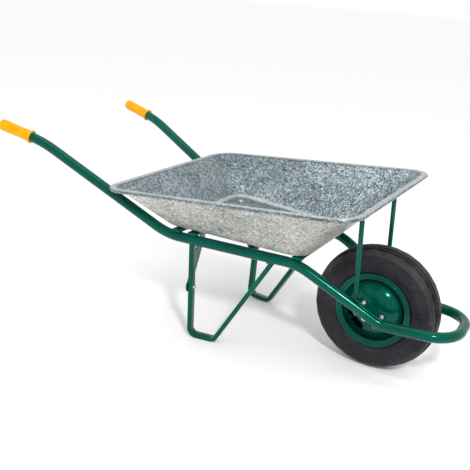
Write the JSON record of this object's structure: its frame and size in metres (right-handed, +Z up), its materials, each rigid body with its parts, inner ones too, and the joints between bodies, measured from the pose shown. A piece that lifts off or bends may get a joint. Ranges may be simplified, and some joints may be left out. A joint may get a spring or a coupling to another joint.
{
  "type": "wheelbarrow",
  "caption": "Single-wheel wheelbarrow with a deep galvanised tray on a bent green tube frame, rectangular-tube legs and a pneumatic wheel.",
  "frame": {"origin": "on the ground, under the middle of the barrow's overall box", "axes": "+X forward towards the wheel, +Y to the left of the person who pushes it, +Z up"},
  "size_m": [1.5676, 0.73, 0.6409],
  "materials": {
    "green_paint": "gloss paint",
    "galvanised": "hot-dip galvanised, spangled",
    "zinc": "bright zinc plate",
    "bright_steel": "turned",
    "tyre_rubber": "satin, ribbed tread",
    "tube_rubber": "matt",
    "yellow_plastic": "soft satin"
  },
  "bodies": {
    "barrow": {"frame_tube": "green_paint", "right_grip": "yellow_plastic", "left_grip": "yellow_plastic", "rear_cross_bar": "green_paint", "leg_cross_bar": "green_paint", "front_cross_bar": "green_paint", "tray": "galvanised", "tray_rim_wire": "bright_steel", "tray_bolt_rear_right": "zinc", "tray_nut_rear_right": "zinc", "tray_bolt_rear_left": "zinc", "tray_nut_rear_left": "zinc", "tray_bolt_front_right": "zinc", "tray_nut_front_right": "zinc", "tray_bolt_front_left": "zinc", "tray_nut_front_left": "zinc", "right_leg": "green_paint", "left_leg": "green_paint", "right_leg_brace": "green_paint", "brace_bolt_right": "zinc", "brace_nut_right": "zinc", "left_leg_brace": "green_paint", "brace_bolt_left": "zinc", "brace_nut_left": "zinc", "right_axle_bracket": "green_paint", "left_axle_bracket": "green_paint", "right_front_stay": "green_paint", "stay_bolt_right": "zinc", "stay_nut_right": "zinc", "bracket_bolt_rear_right": "zinc", "bracket_nut_rear_right": "zinc", "bracket_bolt_front_right": "zinc", "bracket_nut_front_right": "zinc", "left_front_stay": "green_paint", "stay_bolt_left": "zinc", "stay_nut_left": "zinc", "bracket_bolt_rear_left": "zinc", "bracket_nut_rear_left": "zinc", "bracket_bolt_front_left": "zinc", "bracket_nut_front_left": "zinc", "axle": "bright_steel", "right_axle_spacer": "zinc", "right_axle_nut": "zinc", "left_axle_spacer": "zinc", "left_axle_nut": "zinc"},
    "wheel": {"tyre": "tyre_rubber", "inner_tube": "tube_rubber", "wheel_rim": "green_paint", "valve_stem": "tube_rubber", "valve_cap": "zinc", "right_wheel_disc": "green_paint", "left_wheel_disc": "green_paint", "hub_tube": "green_paint", "right_bearing": "bright_steel", "left_bearing": "bright_steel"}
  },
  "joints": [
    {"name": "wheel_spin", "type": "hinge", "parent": "barrow", "child": "wheel", "pos_m": [0.49934, 0, 0.2], "axis": [0, 1, 0], "continuous": true}
  ]
}
